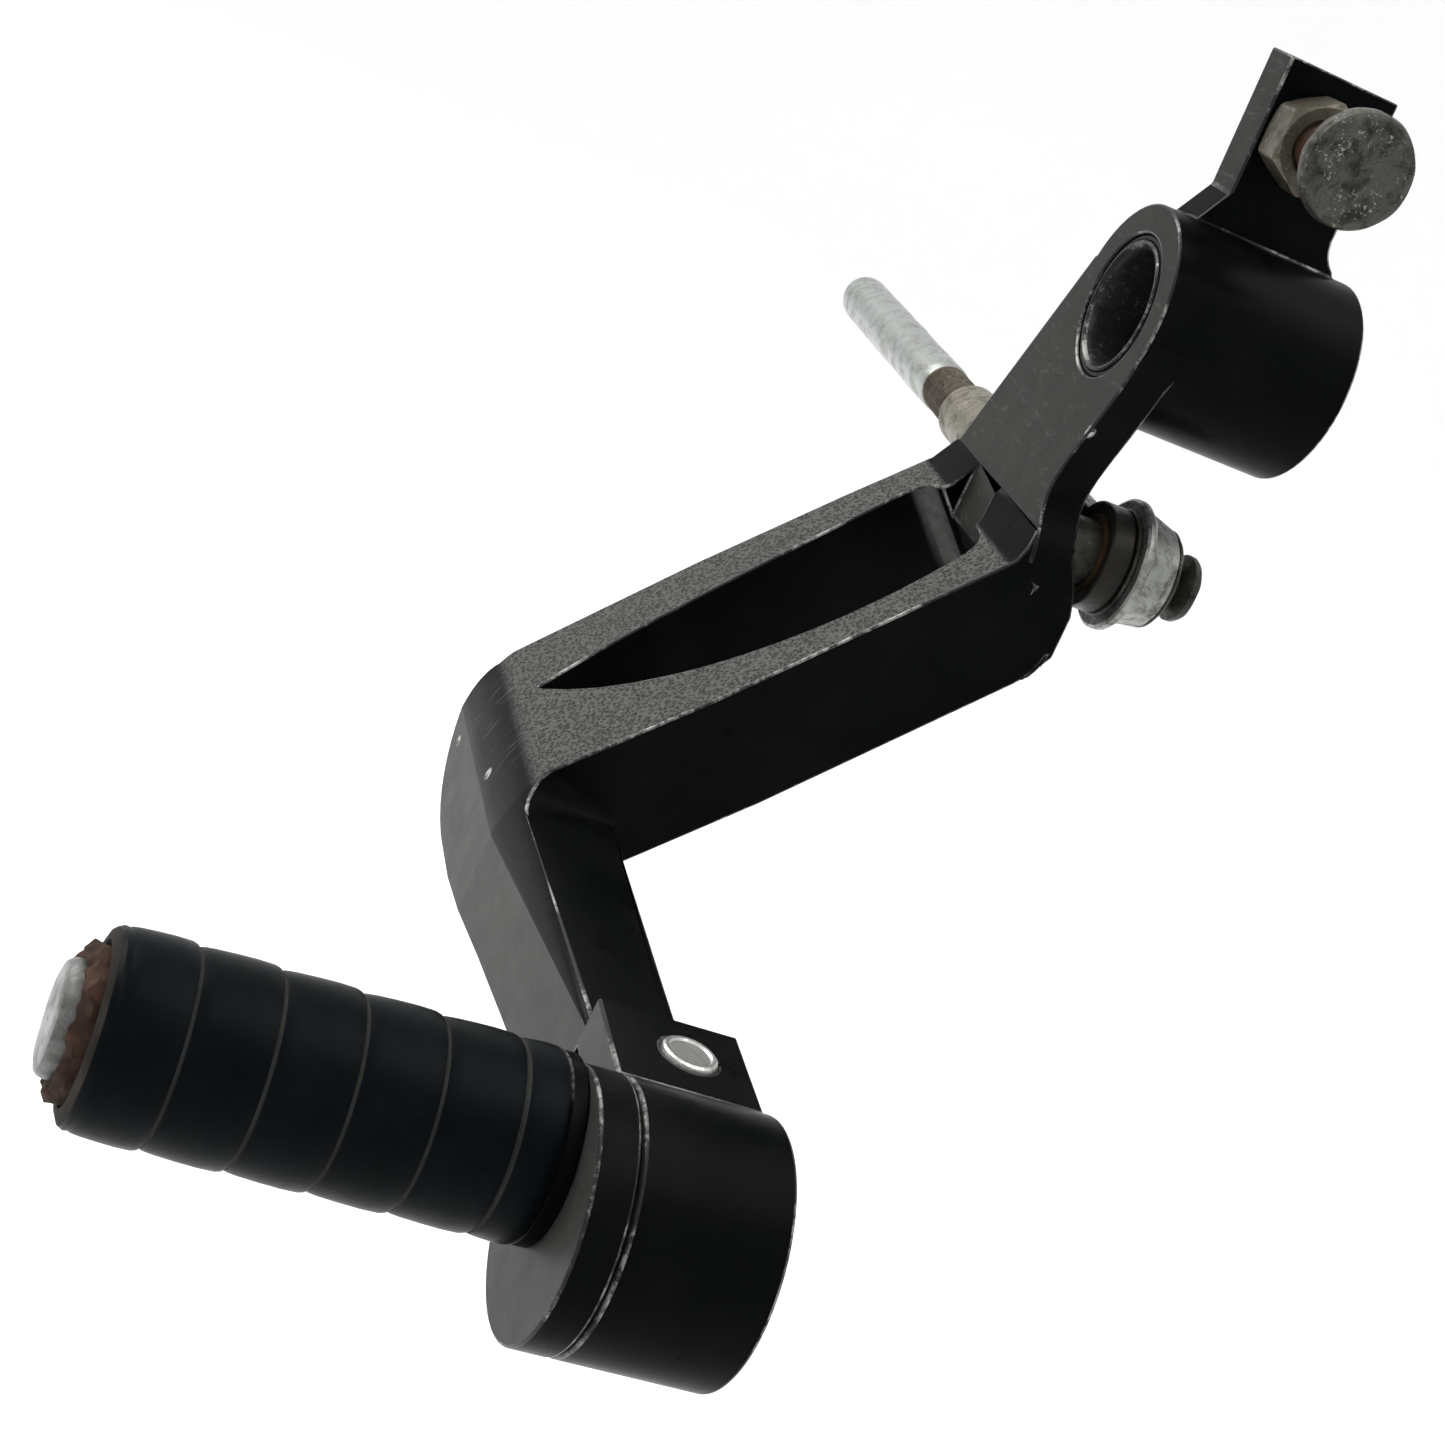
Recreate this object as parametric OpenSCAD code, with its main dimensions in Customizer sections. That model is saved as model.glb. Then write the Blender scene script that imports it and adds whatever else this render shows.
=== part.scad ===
// Gear shift lever with a folding, eccentric toe peg.
// Millimetres. The origin is on the pivot axis, at the outboard face of the neck.
// +X forward along the lower arm, -Y outboard towards the peg tip, +Z up.

/* [Pivot] */
// Outside diameter of the pivot tube
tube_d = 24.8; // [23:0.2:26]
// Length of the pivot tube from the neck's outboard face
tube_len = 25.5; // [24.5:0.5:28]
// Running bore of the two bushes
pivot_d = 14; // [12:0.5:14]
// Thickness of the neck plate
neck_t = 5; // [4.5:0.5:6]

/* [Arm] */
// Thickness of the slanted section, square to its face
slab_t = 13.5; // [12:0.5:15]
// Outboard offset of the lower arm's front edge
offset_out = 44; // [42:0.5:45]
// Height of the lower arm's top face below the pivot axis
lower_top = 75.7; // [75:0.1:76]
// Thickness of the lower arm
lower_t = 10; // [9:0.5:10]
// How far the textured rails stand proud of the neck
rail_rise = 1.2; // [0.6:0.2:1.6]

/* [Stop fin] */
// Thickness of the fin on top of the pivot tube
fin_t = 6; // [5:0.5:6]
// Height of the fin's top edge above the pivot axis
fin_top = 33; // [31.5:0.5:35]
// Thread diameter of the stop bolt
stop_d = 6; // [5:0.5:6]
// Head diameter of the stop bolt
stop_head_d = 13.2; // [11:0.2:14]

/* [Toe peg] */
// Diameter of the hub and of the eccentric disc
hub_d = 26; // [25:0.5:28]
// Length of the hub along its axis
hub_len = 15; // [15:0.5:17]
// Thickness of the eccentric disc
disc_t = 4; // [3.5:0.5:4]
// Diameter of the peg rubber over its rings
rubber_d = 18.6; // [17:0.2:19.4]
// Length of the peg rubber
rubber_len = 41.5; // [36:0.5:50]
// Diameter of the peg's steel core
core_d = 10.6; // [8:0.2:11]

/* [Link] */
// Diameter of the link rod
rod_d = 7.4; // [6.6:0.1:7.6]
// Distance from the link stud to the rod's tip
rod_reach = 120; // [90:1:125]
// Height of the link stud below the pivot axis
stud_drop = 27.7; // [27:0.1:28]

/* [Hidden] */
$fn = 96;

eps = 0.01;
pin_fit = 0.05;        // radial clearance of a running pin
body_gap = 0.4;        // clearance between faces of two moving bodies

// pivot
tube_r = tube_d / 2;
bush_r = 8;
seal_r = 8.8;
seal_w = 1.6;
seal_recess = 0.3;
bush_len = 8.5;

// arm: the slanted section runs at 45 degrees, outboard and down
slant = 45;
step_z = -29.8;
slab_len = 66.5;
front_y = -offset_out;
elbow_y = front_y - 3;
elbow_back = front_y + lower_t;
elbow_x = 13.6;
lower_z = -lower_top;

// stop fin and bolt
bolt_y = 11.5;
bolt_z = 25;
stop_nut_af = 10;
stop_nut_t = 5;
fin_front = 0.5;
stop_face_x = 16.6;
stop_head_t = 2.8;
stop_tail_x = -5;

// link joint, stacked inboard from the back of the neck
stud_x = 4.5;
stud_z = -stud_drop;
stud_r = 4;
eye_r = 6.6;
eye_y0 = neck_t + 3.5;
eye_t = 3;
eye_y1 = eye_y0 + eye_t;
shank_r = 4.4;
washer_t = 0.5;
nut_af = 13;
link_nut_t = 5.4;
lock_t = 1.5;
groove_len = 1.2;
flange_r = 8.2;
head_t = 2.4;
rod_y = neck_t + 0.4 + shank_r;
washer_y = eye_y1 + 0.3;
link_nut_y = washer_y + washer_t;
lock_y = link_nut_y + link_nut_t;
groove_y = lock_y + lock_t;
boss_end = 55;         // end of the eye's shank, measured from the stud
thread_len = 12;
thread_r = 3.2;

// toe knuckle and its fold pin
fold_x = 70.5;
fold_y = -36.5;
fold_pin_r = 3;
tongue_r = 6.5;
tongue_front = fold_y - tongue_r + 0.2;
tongue_top = -78.4;
tongue_bot = -86.9;
arm_end = 63.3;
ear_x = 64;
sweep_r = 11.1;        // clears the ear's front corner as it folds
ear_top = -72.3;
ear_bot = -93.4;
hub_x = 85;
hub_z = -83;
hub_r = hub_d / 2;
hub_y = -45;           // outboard face of the hub
hub_back = hub_y + hub_len;
spigot_r = 5;
screw_r = 2.5;

// eccentric disc and peg
disc_back = hub_y - 0.3;
disc_front = disc_back - disc_t;
peg_dx = -3.5;
peg_dz = 3.4;
peg_x = hub_x + peg_dx;
peg_z = hub_z + peg_dz;
collar_t = 1.8;
rubber_y = disc_front - collar_t;
rubber_end = rubber_y - rubber_len;
rubber_r = rubber_d / 2;
core_r = core_d / 2;
end_washer_t = 1.2;
core_end = rubber_end - end_washer_t - 2.4;
rings = 6;

// ---- helpers ----

// Points on a cubic curve from a to d, pulled towards b and c, leaving out the last point
function curve(a, b, c, d, n = 10) = [
  for (i = [0 : n - 1]) let (t = i / n, u = 1 - t)
    u * u * u * a + 3 * u * u * t * b + 3 * u * t * t * c + t * t * t * d
];

// A cylinder along +Y from y0 to y1
module ycyl(r, y0, y1, x = 0, z = 0) {
  translate([x, y1, z]) rotate([90, 0, 0]) cylinder(r = r, h = y1 - y0);
}

// A cylinder along +X from x0 to x1
module xcyl(r, x0, x1, y = 0, z = 0) {
  translate([x0, y, z]) rotate([0, 90, 0]) cylinder(r = r, h = x1 - x0);
}

// A 2D outline in X and Z, given thickness from y0 to y1
module plate_y(y0, y1) {
  translate([0, y1, 0]) rotate([90, 0, 0]) linear_extrude(y1 - y0) children();
}

// A profile of [radius, y] points turned about an axis along Y
module turned_y(points, x = 0, z = 0) {
  translate([x, 0, z]) rotate([-90, 0, 0]) rotate_extrude() polygon(points);
}

// A profile of [radius, x] points turned about an axis along X
module turned_x(points, y = 0, z = 0) {
  translate([0, y, z]) rotate([0, 90, 0]) rotate_extrude() polygon(points);
}

// A hexagon prism along +Y with chamfered corners, drilled through
module hex_y(af, y0, y1, x, z, hole_r) {
  cr = af / 2 / cos(30);
  c = 0.6;
  difference() {
    intersection() {
      translate([x, y1, z]) rotate([90, 30, 0]) cylinder(r = cr, h = y1 - y0, $fn = 6);
      turned_y([[0, y0], [cr - c, y0], [cr, y0 + c], [cr, y1 - c], [cr - c, y1], [0, y1]], x, z);
    }
    ycyl(hole_r, y0 - 1, y1 + 1, x, z);
  }
}

// A ring along +Y
module ring_y(r_out, r_in, y0, y1, x = 0, z = 0) {
  difference() {
    ycyl(r_out, y0, y1, x, z);
    ycyl(r_in, y0 - 1, y1 + 1, x, z);
  }
}

// A round wire swept along a helix about Z, closed at both ends
module coil(mean_r, wire_r, pitch, turns) {
  sides = 8;
  per_turn = 24;
  steps = floor(turns * per_turn);
  pts = [
    for (i = [0 : steps]) let (a = i * 360 / per_turn, z = pitch * i / per_turn)
      for (j = [0 : sides - 1]) let (b = j * 360 / sides, rr = mean_r + wire_r * cos(b))
        [rr * cos(a), rr * sin(a), z + wire_r * sin(b)]
  ];
  walls = [
    for (i = [0 : steps - 1]) for (j = [0 : sides - 1])
      let (k = (j + 1) % sides) [i * sides + j, i * sides + k, (i + 1) * sides + k, (i + 1) * sides + j]
  ];
  first = [[for (j = [sides - 1 : -1 : 0]) j]];
  last = [[for (j = [0 : sides - 1]) steps * sides + j]];
  polyhedron(points = pts, faces = concat(walls, first, last));
}

// ---- lever arm ----

// Front edge of the neck, from the slanted section up to the tube
neck_edge = concat(
  curve([10.6, -31], [10.4, -27], [6.1, -25], [5.9, -21.5]),
  curve([5.9, -21.5], [5.9, -17.5], [10, -12], [12.3, -3])
);

// Side outline of the neck plate: straight at the back, waisted at the front
module neck_outline() {
  polygon(concat([[-tube_r, 3], [-26.9, -28.5], [-26.9, -32], [10.8, -32]], neck_edge, [[12.1, -1], [0, 4]]));
}

// Point [y, z] that lies d down the slope and t behind the rails' base plane
function on_side(d, t) = [(t - d) * sin(slant), step_z - (d + t) * cos(slant)];

// Rounded front of the elbow, in Y and Z, down to where it turns vertical
elbow_low = -81.5;
elbow_curve = curve([-44, -72.2], [-45.6, -74.6], [-46.4, -77.2], [elbow_y, elbow_low], 9);

// Where that curve reaches the top of the lower arm
lower_front = lookup(lower_z, [for (q = elbow_curve) [q.y, q.x]]);

// Side profile in Y and Z of the slanted section and the elbow
module side_profile() {
  back_c = [-0.9, -38.5];
  back_r = slab_t - 5.5;
  polygon(concat(
    [[0, step_z + 3.4], [-1.9, step_z - 0.3], on_side(60.5, -rail_rise)],
    elbow_curve,
    [[elbow_y, elbow_low], [elbow_y, -95], [elbow_back, -95], [elbow_back, -83]],
    [for (i = [-45 : 7.5 : 45]) [back_c.x + back_r * cos(i), back_c.y + back_r * sin(i)]],
    [[neck_t, -32], [neck_t, step_z + 3.4]]
  ));
}

// Face outline of the slanted section: X across, Y up the slope, 0 at the step
module slab_outline() {
  polygon([[-25.6, 9], [-26.9, -2], [-26.6, -14], [-25.3, -35], [-23, -53], [-21.4, -slab_len],
    [elbow_x, -slab_len], [elbow_x, -40], [10.9, -1.5], [10.2, 0.4], [8.3, 2.4], [7.4, 4], [5.6, 9]]);
}

// Leaf-shaped opening: round at the top and pointed at the elbow
module leaf_outline() {
  tip = [-9, -59.3];
  left = [-19.6, -9];
  right = [4.4, -9];
  top_left = [-14.5, -2.8];
  top_right = [-1.5, -2.8];
  polygon(concat(
    curve(left, [-20.6, -5], [-18.5, -2.8], top_left, 6),
    curve(top_right, [2.5, -2.8], [3.6, -5.5], right, 6),
    curve(right, [8.2, -24], [7, -46], tip, 12),
    curve(tip, [-14, -47], [-16.5, -30], left, 10)
  ));
}

// The neck's face runs on between the rails, down to the opening
face_pocket = [[-16.5, -20], [-16.5, -40], [-2.1, -40], [-2.1, -31.5], [-6.9, -27.4], [-7.5, -20]];

// Round heel behind the elbow, from its top to the underside of the lower arm
heel = curve([-22, -74], [-25.2, -81], [-22, under(-3)], [-3, under(-3)], 14);

// Height of the lower arm's underside at x
function under(x) = -92.9 + max(0, x - 4) * 2.1 / 22;

// Slanted section and elbow: the side profile, cut to its outlines
module slanted_section() {
  difference() {
    intersection() {
      translate([-40, 0, 0]) rotate([90, 0, 90]) linear_extrude(80) side_profile();
      union() {
        on_slope() translate([0, 0, -30]) linear_extrude(40) slab_outline();
        plate_y(elbow_y - 5, 0)
          polygon(concat(heel, [[4, under(4)], [elbow_x, under(elbow_x)], [elbow_x, -74]]));
      }
    }
    on_slope() translate([0, 0, -60]) linear_extrude(120) leaf_outline();
    plate_y(-20, 0) polygon(face_pocket);
  }
}

// Thick edge of the neck beside the stud, where the slanted section begins
module side_rib() {
  intersection() {
    translate([3, 0, 0]) rotate([90, 0, 90]) linear_extrude(20)
      polygon([[2, -24], [neck_t, -24.5], [5.3, -28.2], [6.8, -31.3], [7.8, -34.3], [7.9, -39.6], [6, -43], [2, -43]]);
    plate_y(0, 10)
      polygon(concat([[3, -44], [11, -44], [10.8, -32]], [for (q = neck_edge) if (q.y < -22) q], [[3, -21]]));
  }
}

// Square in the inner corner between the slanted section and the lower arm, at depth y
module corner_block(r, y) {
  plate_y(y, y + eps) translate([elbow_x - 1, lower_z - 1]) square(r + 1);
}

// The fillet's hollow of radius r at depth y
module corner_hollow(r, y) {
  plate_y(y - eps, y + 2 * eps) translate([elbow_x + r, lower_z + r]) circle(r = r);
}

// Thin slice at x of the elbow's front, which moves back as the lower arm tapers
module corner_slice(x) {
  back = (x - elbow_x) * (front_y + 0.2 - lower_front) / (arm_end - elbow_x);
  translate([x, back, 0]) rotate([90, 0, 90]) linear_extrude(eps) polygon(concat(
    [[-1.9, step_z - 0.3], on_side(60.5, -rail_rise)],
    [for (q = elbow_curve) if (q.y > lower_z) q],
    [[lower_front, lower_z], [lower_front, lower_z - 2], [elbow_back + 4, lower_z - 2]]
  ));
}

// Fillet in that corner, wide at the front and tight at the back
module corner_fillet() {
  wide = 6;
  tight = 0.8;
  intersection() {
    difference() {
      hull() {
        corner_block(wide, elbow_y);
        corner_block(tight, elbow_back);
      }
      hull() {
        corner_hollow(wide, elbow_y);
        corner_hollow(tight, elbow_back);
      }
    }
    hull() {
      corner_slice(elbow_x);
      corner_slice(elbow_x + wide + 2);
    }
  }
}

// Puts a shape drawn on the slope in place, its front face down
module on_slope() {
  translate([0, 0, step_z]) rotate([slant, 0, 0]) children();
}

// Lower arm: side outline
module lower_outline() {
  polygon([[elbow_x, under(elbow_x)], [26, under(26)], [arm_end, -88], [arm_end, lower_z], [elbow_x, lower_z]]);
}

// Thin slice at x whose front is the given Y and Z points, from the top down
module lower_slice(x, front) {
  translate([x, 0, 0]) rotate([90, 0, 90]) linear_extrude(eps)
    polygon(concat([[elbow_back, lower_z]], front, [[front[len(front) - 1].x, -100], [elbow_back, -100]]));
}

// Lower arm: from the rounded elbow to a plain end with a small bevel, hollowed round the fold pin
module lower_arm() {
  round_front = concat(
    [[lower_front, lower_z]],
    [for (q = elbow_curve) if (q.y < lower_z - 0.3) q],
    [[elbow_y, elbow_low]]
  );
  difference() {
    intersection() {
      hull() {
        lower_slice(elbow_x, round_front);
        lower_slice(arm_end, [[front_y + 0.2, lower_z], [front_y - 0.2, lower_z - 0.8]]);
      }
      plate_y(-60, -20) lower_outline();
    }
    translate([fold_x, fold_y, -110]) cylinder(r = sweep_r, h = 50);
  }
}

// Tongue that carries the fold pin between the knuckle's cheeks
module tongue() {
  translate([0, 0, tongue_bot]) linear_extrude(tongue_top - tongue_bot) {
    translate([fold_x, fold_y]) circle(r = tongue_r);
    translate([fold_x - 15, tongue_front]) square([15, elbow_back - 0.4 - tongue_front]);
  }
}

// Fin on the tube for the stop bolt, with flared roots
module fin() {
  translate([fin_front - fin_t, 0, 0]) rotate([90, 0, 90]) linear_extrude(fin_t) difference() {
    polygon([[3.6, 9], [3.6, 12], [6.2, 16.5], [5.4, fin_top], [20.1, fin_top], [20.7, 16], [23.2, 12], [23.2, 9]]);
    translate([25, 16.6]) circle(r = 4.3);
  }
}

module lever_arm() color("#1b1c1d") difference() {
  union() {
    ycyl(tube_r, 0, tube_len);
    plate_y(0, neck_t) neck_outline();
    slanted_section();
    side_rib();
    corner_fillet();
    lower_arm();
    tongue();
    fin();
  }
  ycyl(bush_r, -1, tube_len + 1);
  ycyl(seal_r, -1, seal_w + seal_recess);
  ycyl(seal_r, tube_len - seal_w - seal_recess, tube_len + 1);
  xcyl(stop_d / 2 + pin_fit, -10, 10, bolt_y, bolt_z);
  ycyl(2.9, 1.6, neck_t + 1, stud_x, stud_z);
  ycyl(stud_r + 0.3, neck_t, 20, stud_x, stud_z);
  translate([fold_x, fold_y, tongue_bot - 1]) cylinder(r = fold_pin_r + pin_fit, h = 12);
  translate([fold_x, fold_y, tongue_bot - 1]) cylinder(r = 5.5, h = 4.4);
}

// ---- pivot bushes and seals ----

module pivot_bush(y0) {
  ring_y(bush_r, pivot_d / 2, y0, y0 + bush_len);
}

module pivot_bush_outboard() color("#8d8f8c") pivot_bush(0);
module pivot_bush_inboard() color("#8d8f8c") pivot_bush(tube_len - bush_len);

// Face seal in the groove round a bush
module dust_seal(y0) {
  ring_y(seal_r, bush_r, y0, y0 + seal_w);
}

module dust_seal_outboard() color("#101010") dust_seal(seal_recess);
module dust_seal_inboard() color("#101010") dust_seal(tube_len - seal_w - seal_recess);

// ---- stop bolt in the fin ----

module stop_bolt() color("#4d4a45") {
  r = stop_head_d / 2;
  hb = stop_face_x - stop_head_t;
  turned_x([[0, stop_tail_x], [stop_d / 2 - 0.7, stop_tail_x], [stop_d / 2, stop_tail_x + 0.7], [stop_d / 2, hb],
    [r - 0.3, hb], [r, hb + 0.3], [r, stop_face_x - 0.9], [r - 0.9, stop_face_x], [0, stop_face_x]],
    bolt_y, bolt_z);
}

module stop_bolt_nut() color("#8a8272") translate([fin_front, bolt_y, bolt_z]) rotate([0, 0, -90])
  hex_y(stop_nut_af, 0, stop_nut_t, 0, 0, stop_d / 2 + pin_fit);

// ---- link stud, its eye and the rod ----

module link_stud() color("#55534a") turned_y([
    [0, 2], [2.4, 2], [2.9, 2.6], [2.9, neck_t], [stud_r, neck_t], [stud_r, groove_y], [2.6, groove_y + 0.5],
    [2.6, groove_y + groove_len], [stud_r, groove_y + groove_len + 0.5],
    [stud_r + 0.2, groove_y + groove_len + head_t - 0.6], [stud_r - 0.6, groove_y + groove_len + head_t],
    [0, groove_y + groove_len + head_t]], stud_x, stud_z);

module link_stud_washer() color("#3a3936")
  ring_y(6.8, stud_r, washer_y, washer_y + washer_t, stud_x, stud_z);

module link_stud_nut() color("#a7a9a4") difference() {
  union() {
    hex_y(nut_af, link_nut_y + 1, link_nut_y + link_nut_t, stud_x, stud_z, stud_r);
    turned_y([[stud_r, link_nut_y], [flange_r - 0.3, link_nut_y], [flange_r, link_nut_y + 0.4],
      [flange_r - 0.2, link_nut_y + 1.1], [nut_af / 2 - 0.4, link_nut_y + 2], [stud_r, link_nut_y + 2]],
      stud_x, stud_z);
  }
  ycyl(stud_r, link_nut_y - 1, link_nut_y + link_nut_t + 1, stud_x, stud_z);
}

module link_stud_locknut() color("#4c4a43") difference() {
  turned_y([[0, lock_y], [6.2, lock_y], [6.2, lock_y + 0.7], [4.9, lock_y + lock_t], [0, lock_y + lock_t]],
    stud_x, stud_z);
  ycyl(stud_r, lock_y - 1, lock_y + lock_t + 1, stud_x, stud_z);
}

module link_eye() color("#7d786a") difference() {
  union() {
    ycyl(eye_r, eye_y0, eye_y1, stud_x, stud_z);
    translate([stud_x - 20, eye_y0, stud_z - shank_r]) cube([18, eye_t, 2 * shank_r]);
    xcyl(shank_r, stud_x - boss_end, stud_x - 14, rod_y, stud_z);
  }
  ycyl(5, eye_y0 - 1, eye_y1 + 1, stud_x, stud_z);
  xcyl(thread_r, stud_x - boss_end - 1, stud_x - boss_end + thread_len, rod_y, stud_z);
}

module link_eye_bush() color("#9c7b45")
  ring_y(5, stud_r + pin_fit, eye_y0, eye_y1, stud_x, stud_z);

module link_rod() color("#b3b6b2") {
  r = rod_d / 2;
  root = stud_x - boss_end + thread_len - 0.5;
  tip = stud_x - rod_reach;
  plain = stud_x - boss_end - thread_len;
  turned_x(concat([[0, root], [thread_r, root], [thread_r, plain], [r, plain], [r, tip + r * 1.3]],
    [for (a = [75 : -15 : 15]) [r * sin(a), tip + r * 1.3 * (1 - cos(a))]], [[0, tip]]),
    rod_y, stud_z);
}

// ---- folding toe knuckle ----

// Side outline of the knuckle's flat-topped ear
module ear_outline() {
  polygon([[ear_x, ear_top], [hub_x - 5.4, ear_top], [hub_x, hub_z + hub_r - 1], [hub_x, hub_z - hub_r + 1],
    [hub_x - 8, ear_bot - 0.4], [ear_x + 3, ear_bot], [ear_x, ear_bot + 3]]);
}

module toe_knuckle() color("#1b1c1d") difference() {
  union() {
    ycyl(hub_r, hub_y, hub_back, hub_x, hub_z);
    plate_y(hub_y, hub_back) ear_outline();
  }
  // gap between the cheeks for the tongue, round at its inner end
  translate([0, 0, tongue_bot - body_gap]) linear_extrude(tongue_top - tongue_bot + 2 * body_gap) {
    translate([fold_x, fold_y]) circle(r = tongue_r + body_gap);
    translate([fold_x - 30, hub_y - 1]) square([30, hub_len + 2]);
    translate([fold_x - 1, hub_y - 1]) square([4.5, -hub_y + fold_y + 1]);
  }
  translate([fold_x, fold_y, -110]) cylinder(r = fold_pin_r, h = 60);
  ycyl(spigot_r + pin_fit, hub_y - 1, hub_y + 8.3, hub_x, hub_z);
  ycyl(screw_r + 0.3, hub_y, hub_back + 1, hub_x, hub_z);
  ycyl(4.8, hub_back - 6.2, hub_back + 1, hub_x, hub_z);
}

module fold_pin() color("#b9bab6") translate([fold_x, fold_y, 0]) {
  top = ear_top + 0.5;
  bot = ear_bot - 0.3;
  rotate_extrude() polygon([[0, bot], [fold_pin_r - 0.5, bot], [fold_pin_r, bot + 0.5],
    [fold_pin_r, top - 0.5], [fold_pin_r - 0.5, top], [0, top]]);
}

module fold_spring() color("#8b8d8e")
  translate([fold_x, fold_y, tongue_bot + 0.5]) coil(4.5, 0.45, 0.96, 2.5);

// ---- eccentric disc, its clamp screw and the peg ----

module eccentric_disc() color("#1d1e1f") difference() {
  union() {
    ycyl(hub_r, disc_front, disc_back, hub_x, hub_z);
    ycyl(spigot_r, disc_back - eps, hub_y + 7.8, hub_x, hub_z);
  }
  ycyl(screw_r, disc_back, hub_y + 9, hub_x, hub_z);
  ycyl(3, disc_front - 1, disc_back + 1, peg_x, peg_z);
}

module adjuster_screw() color("#3b3c3d") difference() {
  head = hub_back - 5.2;
  union() {
    ycyl(screw_r, disc_back + 1, head + eps, hub_x, hub_z);
    turned_y([[0, head], [4.25, head], [4.25, head + 4.5], [3.75, head + 5], [0, head + 5]], hub_x, hub_z);
  }
  translate([hub_x, hub_back + 1, hub_z]) rotate([90, 0, 0]) cylinder(r = 2.3, h = 3.8, $fn = 6);
}

module adjuster_washer() color("#6f7070")
  ring_y(4.4, screw_r, hub_back - 6.1, hub_back - 5.2, hub_x, hub_z);

module peg_core() color("#a9aaa6") turned_y([
    [0, core_end], [core_r - 0.5, core_end], [core_r, core_end + 0.5], [core_r, rubber_y - eps],
    [rubber_r - 0.3, rubber_y - eps], [rubber_r - 0.3, disc_front], [3, disc_front],
    [3, disc_back - 0.2], [0, disc_back - 0.2]], peg_x, peg_z);

// Rubber sleeve: shallow overlapping rings, thicker at their inboard ends
module peg_rubber() color("#151617") {
  pitch = rubber_len / (rings - 0.45);
  lip = 0.45;
  ring_pts = [for (i = [0 : rings - 1]) let (y0 = max(rubber_y - (i + 1 - 0.45) * pitch, rubber_end),
    y1 = min(rubber_y, rubber_y - (i - 0.45) * pitch)) each [[rubber_r, y1 - 0.3], [rubber_r - lip, y0]]];
  turned_y(concat([[core_r, rubber_y], [rubber_r - 0.4, rubber_y]],
    [for (i = [0 : len(ring_pts) - 2]) ring_pts[i]],
    [[rubber_r - lip, rubber_end + 1.2], [rubber_r - lip - 1.2, rubber_end], [core_r, rubber_end]]),
    peg_x, peg_z);
}

module peg_end_washer() color("#7a4a2b")
  ring_y(6.8, core_r, rubber_end - end_washer_t, rubber_end, peg_x, peg_z);

lever_arm();
pivot_bush_outboard();
pivot_bush_inboard();
dust_seal_outboard();
dust_seal_inboard();
stop_bolt();
stop_bolt_nut();
link_stud();
link_stud_washer();
link_stud_nut();
link_stud_locknut();
link_eye();
link_eye_bush();
link_rod();
toe_knuckle();
fold_pin();
fold_spring();
eccentric_disc();
adjuster_screw();
adjuster_washer();
peg_core();
peg_rubber();
peg_end_washer();
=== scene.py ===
"""Looks of the gear shift lever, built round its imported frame. Lengths in mm unless a name ends in _m."""
import math

import bmesh
import bpy
from mathutils import Matrix, Vector, noise
from mathutils.bvhtree import BVHTree


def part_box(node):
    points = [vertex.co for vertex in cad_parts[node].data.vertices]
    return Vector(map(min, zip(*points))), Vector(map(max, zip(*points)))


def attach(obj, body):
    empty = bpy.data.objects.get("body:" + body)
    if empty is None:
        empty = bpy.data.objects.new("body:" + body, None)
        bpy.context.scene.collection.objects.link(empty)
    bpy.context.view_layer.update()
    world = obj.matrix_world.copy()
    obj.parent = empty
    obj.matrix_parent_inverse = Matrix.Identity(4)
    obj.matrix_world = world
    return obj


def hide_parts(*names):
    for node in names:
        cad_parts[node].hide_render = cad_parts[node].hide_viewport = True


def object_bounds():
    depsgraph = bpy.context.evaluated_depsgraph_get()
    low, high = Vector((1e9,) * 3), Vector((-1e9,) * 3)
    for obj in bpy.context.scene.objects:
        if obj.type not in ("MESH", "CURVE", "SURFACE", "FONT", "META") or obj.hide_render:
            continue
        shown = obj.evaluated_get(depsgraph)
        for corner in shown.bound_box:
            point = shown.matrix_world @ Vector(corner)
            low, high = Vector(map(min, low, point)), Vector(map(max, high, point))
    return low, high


MM = 0.001
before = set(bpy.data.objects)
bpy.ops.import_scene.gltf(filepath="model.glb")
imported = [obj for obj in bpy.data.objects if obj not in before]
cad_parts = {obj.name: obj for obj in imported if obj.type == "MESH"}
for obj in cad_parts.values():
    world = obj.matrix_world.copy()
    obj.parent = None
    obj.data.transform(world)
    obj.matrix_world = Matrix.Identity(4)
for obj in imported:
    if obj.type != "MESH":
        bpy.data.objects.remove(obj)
cad_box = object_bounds()


# ---- measures taken from the frame ----

def low(node):
    return Vector(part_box(node)[0]) / MM


def high(node):
    return Vector(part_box(node)[1]) / MM


def centre(node):
    return (low(node) + high(node)) / 2


# ---- node materials ----

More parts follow.
